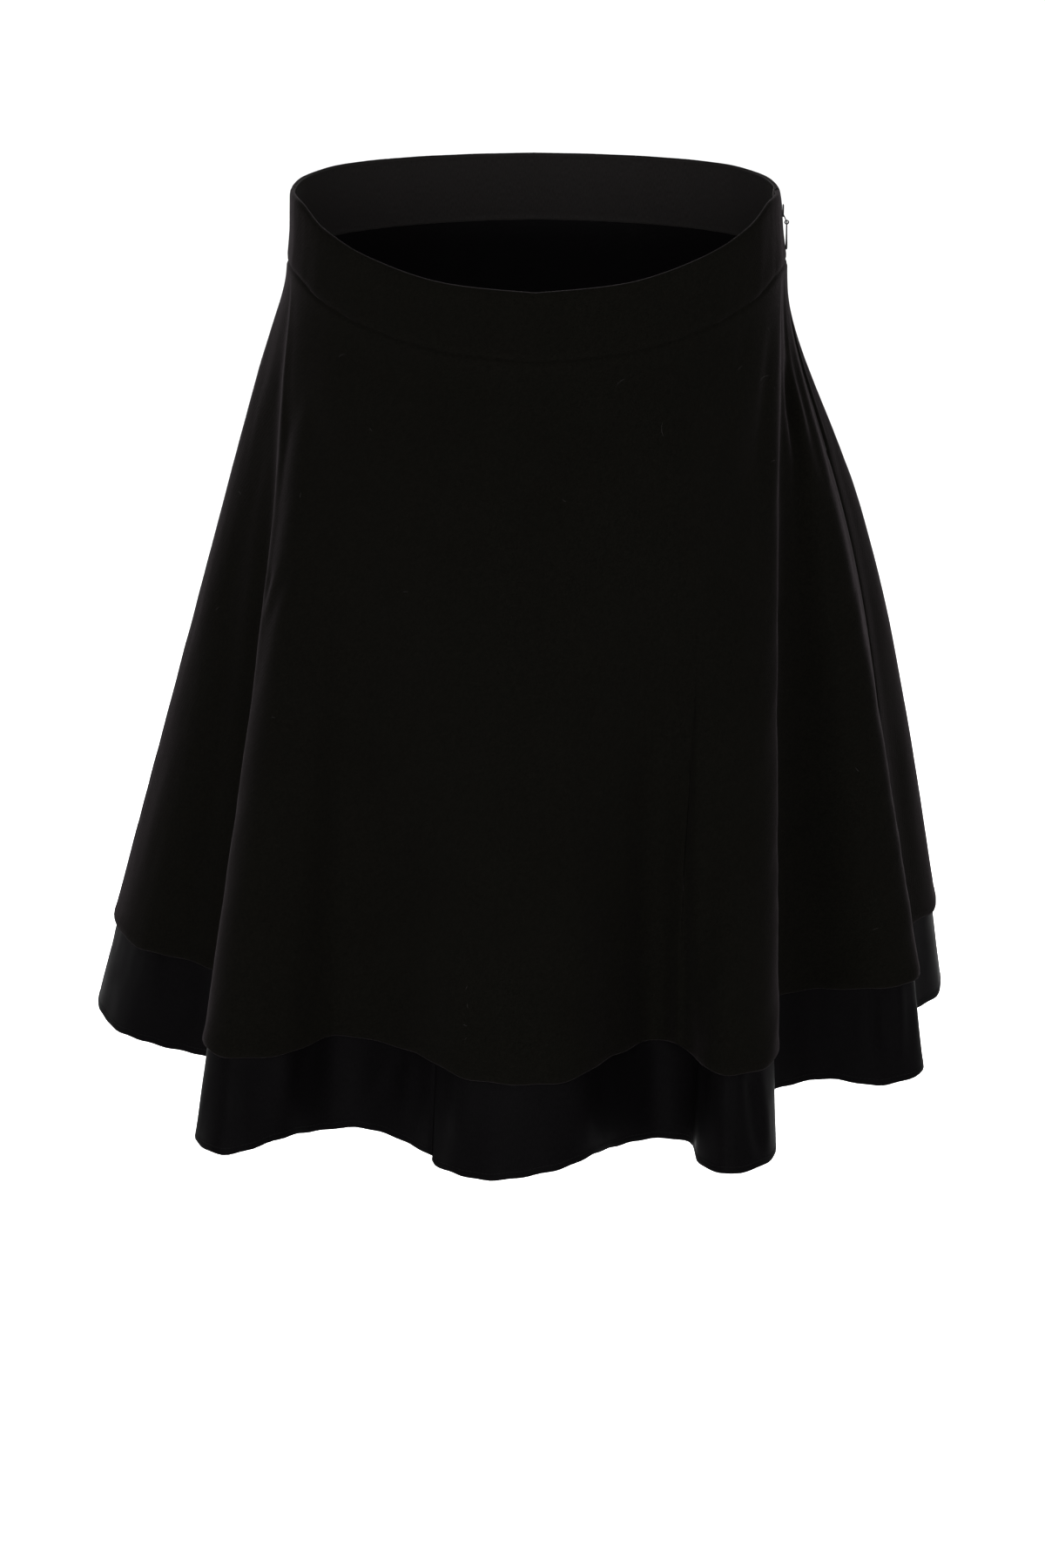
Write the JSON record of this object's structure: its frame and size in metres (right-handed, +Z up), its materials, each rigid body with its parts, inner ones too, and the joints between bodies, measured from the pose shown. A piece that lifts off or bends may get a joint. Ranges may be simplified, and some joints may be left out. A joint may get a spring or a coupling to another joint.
{
  "type": "knee-length flared skirt",
  "caption": "Flared knee-length skirt in its worn form: contoured waistband, matte wool outer layer over a longer satin layer, and a concealed side zip.",
  "frame": {"origin": "middle of the tilted waist opening, half way between the low front rim and the high back rim", "axes": "+Z up along the wearer's body, -Y the front, +X the wearer's left side, where the zip is"},
  "size_m": [0.5284, 0.4887, 0.5466],
  "materials": {
    "wool": "matte black wool with a slight nap",
    "satin": "black satin with a soft sheen",
    "coil": "black moulded coils",
    "lacquer": "black lacquer"
  },
  "bodies": {
    "skirt": {"waistband_front": "wool", "waistband_back": "wool", "front_panel": "wool", "back_panel": "wool", "underskirt_front_left": "satin", "underskirt_front_right": "satin", "underskirt_back": "satin", "zip_chain": "coil", "zip_slider": "lacquer"},
    "pull": {"zip_pull": "lacquer"}
  },
  "joints": [
    {"name": "pull_swing", "type": "hinge", "parent": "skirt", "child": "pull", "pos_m": [0.14905, -0.00002, 0.0003], "axis": [-0.0063, -1, 0], "range_deg": [0, 170]}
  ]
}
